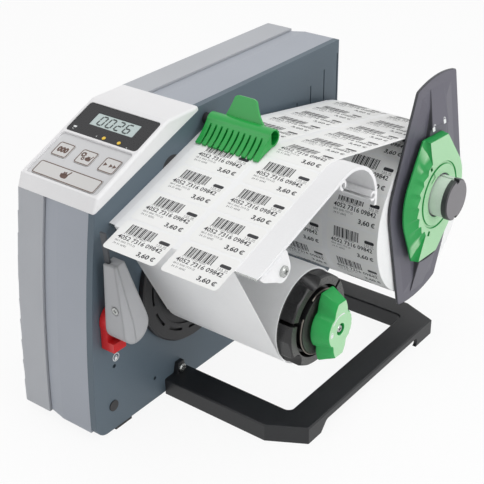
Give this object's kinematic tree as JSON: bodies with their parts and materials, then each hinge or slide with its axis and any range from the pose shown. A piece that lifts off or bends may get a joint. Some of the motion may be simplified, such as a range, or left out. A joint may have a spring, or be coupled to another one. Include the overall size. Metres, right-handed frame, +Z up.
{
  "type": "label dispenser",
  "caption": "Desktop label dispenser: drive housing with keypad and display, peeling plate, label roll with guide flange, brake comb, sensor arm and expanding rewinder.",
  "frame": {"origin": "middle of the footprint's bounding box, on the table", "axes": "+X from the housing towards the knobs, +Y from the peeling edge to the rear, +Z up"},
  "size_m": [0.224, 0.3567, 0.2454],
  "materials": {
    "cover_grey": "fine satin paint",
    "band_grey": "fine satin paint",
    "wall_slate": "fine textured paint",
    "bezel_white": "fine moulded texture",
    "keypad_grey": "printed film",
    "key_white": "printed cap",
    "window_black": "polished",
    "lcd_green": "display film",
    "lamp_yellow": "clear tinted",
    "board_green": "solder mask",
    "supply_metal": "bare",
    "black_plastic": "fine moulded texture",
    "foot_rubber": "matt",
    "zinc_steel": "zinc plated",
    "base_black": "satin powder coat",
    "plate_white": "smooth paint",
    "liner_paper": "glazed backing paper",
    "label_paper": "coated paper",
    "core_board": "wound board",
    "tube_green": "smooth",
    "dark_plastic": "fine moulded texture",
    "green_plastic": "satin gloss",
    "red_plastic": "satin gloss",
    "arm_grey": "fine moulded texture",
    "hub_black": "satin",
    "belt_rubber": "matt",
    "motor_metal": "dark paint",
    "pulley_metal": "turned"
  },
  "bodies": {
    "machine": {"side_wall": "wall_slate", "center_frame": "band_grey", "left_cover": "cover_grey", "rubber_feet": "foot_rubber", "housing_screws": "zinc_steel", "wall_plugs": "black_plastic", "panel_bezel": "bezel_white", "keypad_plate": "keypad_grey", "display_window": "window_black", "lcd_panel": "lcd_green", "indicator_lamps": "lamp_yellow", "control_board": "board_green", "power_supply": "supply_metal", "rear_inlet": "black_plastic", "base_frame": "base_black", "base_screws": "zinc_steel", "plate_profile": "plate_white", "edge_strip": "zinc_steel", "end_bracket": "plate_white", "plate_screws": "zinc_steel", "label_web": "liner_paper", "liner_return": "liner_paper", "dispensed_labels": "label_paper", "web_labels": "label_paper", "supply_boss": "dark_plastic", "supply_tube": "tube_green", "tube_cap": "dark_plastic", "rewinder_bearings": "zinc_steel", "drive_motor": "motor_metal", "drive_belt": "belt_rubber", "comb_shaft": "zinc_steel", "pivot_pin": "zinc_steel"},
    "supply_roll": {"roll_core": "core_board", "label_roll": "liner_paper"},
    "flange": {"flange_blade": "dark_plastic"},
    "locking_ring": {"flange_ring": "green_plastic"},
    "rewinder": {"rewinder_shaft": "zinc_steel", "hub_carrier": "hub_black", "rewinder_disc": "dark_plastic", "wound_liner": "liner_paper", "rewinder_pulley": "pulley_metal", "knob_screw": "zinc_steel"},
    "release_knob": {"rewinder_knob": "green_plastic", "clip_ring": "zinc_steel"},
    "segment_1": {"hub_segment_1": "hub_black"},
    "segment_2": {"hub_segment_2": "hub_black"},
    "segment_3": {"hub_segment_3": "hub_black"},
    "motor_rotor": {"motor_pulley": "pulley_metal"},
    "brake_comb": {"web_comb": "green_plastic"},
    "sensor_arm": {"arm_front": "arm_grey", "arm_rear": "arm_grey", "arm_screw": "zinc_steel", "sensor_leaf": "dark_plastic"},
    "lock_lever": {"lock_lever": "red_plastic"},
    "rocker": {"power_rocker": "black_plastic"},
    "key_clear": {"key_clear": "key_white"},
    "key_mode": {"key_mode": "key_white"},
    "key_feed": {"key_feed": "key_white"},
    "key_dispense": {"key_dispense": "key_white"}
  },
  "joints": [
    {"name": "key_clear_press", "type": "slide", "parent": "machine", "child": "key_clear", "axis": [0, 0.3907, -0.9205], "range_m": [0, 0.0005], "stiffness_N_per_m": 400, "springref_m": -0.002},
    {"name": "key_mode_press", "type": "slide", "parent": "machine", "child": "key_mode", "axis": [0, 0.3907, -0.9205], "range_m": [0, 0.0005], "stiffness_N_per_m": 400, "springref_m": -0.002},
    {"name": "key_feed_press", "type": "slide", "parent": "machine", "child": "key_feed", "axis": [0, 0.3907, -0.9205], "range_m": [0, 0.0005], "stiffness_N_per_m": 400, "springref_m": -0.002},
    {"name": "key_dispense_press", "type": "slide", "parent": "machine", "child": "key_dispense", "axis": [0, 0.3907, -0.9205], "range_m": [0, 0.0005], "stiffness_N_per_m": 400, "springref_m": -0.002},
    {"name": "rocker_tilt", "type": "hinge", "parent": "machine", "child": "rocker", "pos_m": [-0.0545, 0.14125, 0.076], "axis": [1, 0, 0], "range_deg": [-16, 0]},
    {"name": "supply_spin", "type": "hinge", "parent": "machine", "child": "supply_roll", "pos_m": [0.027, 0.10665, 0.1174], "axis": [1, 0, 0], "continuous": true},
    {"name": "flange_slide", "type": "slide", "parent": "machine", "child": "flange", "axis": [1, 0, 0], "range_m": [0, 0.018]},
    {"name": "ring_turn", "type": "hinge", "parent": "flange", "child": "locking_ring", "pos_m": [0.089, 0.10665, 0.1375], "axis": [1, 0, 0], "range_deg": [0, 40]},
    {"name": "rewinder_spin", "type": "hinge", "parent": "machine", "child": "rewinder", "pos_m": [-0.033, -0.06535, 0.102], "axis": [1, 0, 0], "continuous": true},
    {"name": "motor_spin", "type": "hinge", "parent": "machine", "child": "motor_rotor", "pos_m": [-0.0776, 0.01765, 0.084], "axis": [1, 0, 0], "continuous": true},
    {"name": "knob_turn", "type": "hinge", "parent": "rewinder", "child": "release_knob", "pos_m": [0.098, -0.06535, 0.102], "axis": [1, 0, 0], "range_deg": [0, 80]},
    {"name": "segment_1_draw", "type": "slide", "parent": "rewinder", "child": "segment_1", "axis": [0, 0.1564, -0.9877], "range_m": [0, 0.0013]},
    {"name": "segment_2_draw", "type": "slide", "parent": "rewinder", "child": "segment_2", "axis": [0, 0.7771, 0.6293], "range_m": [0, 0.0013]},
    {"name": "segment_3_draw", "type": "slide", "parent": "rewinder", "child": "segment_3", "axis": [0, -0.9336, 0.3584], "range_m": [0, 0.0013]},
    {"name": "comb_lift", "type": "hinge", "parent": "machine", "child": "brake_comb", "pos_m": [-0.027, -0.03837, 0.22325], "axis": [1, 0, 0], "range_deg": [-60, 0]},
    {"name": "arm_swing", "type": "hinge", "parent": "machine", "child": "sensor_arm", "pos_m": [-0.0258, -0.15385, 0.1035], "axis": [1, 0, 0], "range_deg": [-5, 25]},
    {"name": "lever_turn", "type": "hinge", "parent": "machine", "child": "lock_lever", "pos_m": [-0.0324, -0.15385, 0.1035], "axis": [1, 0, 0], "range_deg": [0, 30]}
  ],
  "couplings": [
    {"joint": "motor_spin", "follows": "rewinder_spin", "ratio": 3},
    {"joint": "knob_turn", "follows": "segment_1_draw", "rad_per_m": 1073.9},
    {"joint": "segment_2_draw", "follows": "segment_1_draw", "ratio": 1},
    {"joint": "segment_3_draw", "follows": "segment_1_draw", "ratio": 1}
  ]
}
